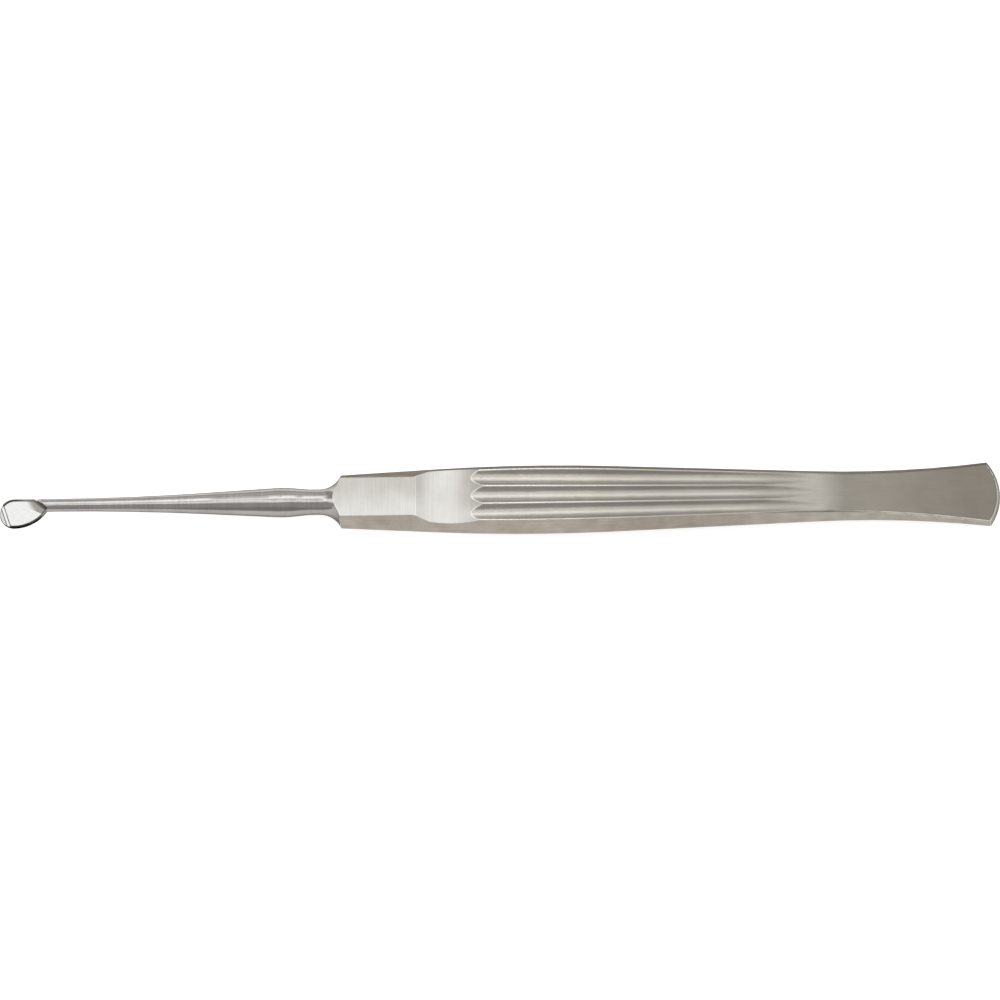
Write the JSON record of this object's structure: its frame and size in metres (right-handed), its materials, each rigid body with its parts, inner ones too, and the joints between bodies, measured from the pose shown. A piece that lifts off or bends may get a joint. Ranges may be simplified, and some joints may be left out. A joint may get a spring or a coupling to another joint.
{
  "type": "septum knife",
  "caption": "One-piece surgical hand knife with a small offset round blade, a tapering round shank, and a flat fluted handle with a thumb flat and a flared tail.",
  "frame": {"origin": "centre of the bounding box: halfway along the length, on the handle's centreline and in its parting plane", "axes": "+X along the length towards the flared tail, +Y across the handle, to the side of the shank away from the blade's bulge, +Z out of the working face, with the polished face of the blade up"},
  "size_m": [0.16, 0.0114, 0.0064],
  "materials": {
    "steel": "satin ground stainless steel, with the blade polished bright"
  },
  "bodies": {
    "root": {"septum_knife": "steel"}
  },
  "joints": []
}
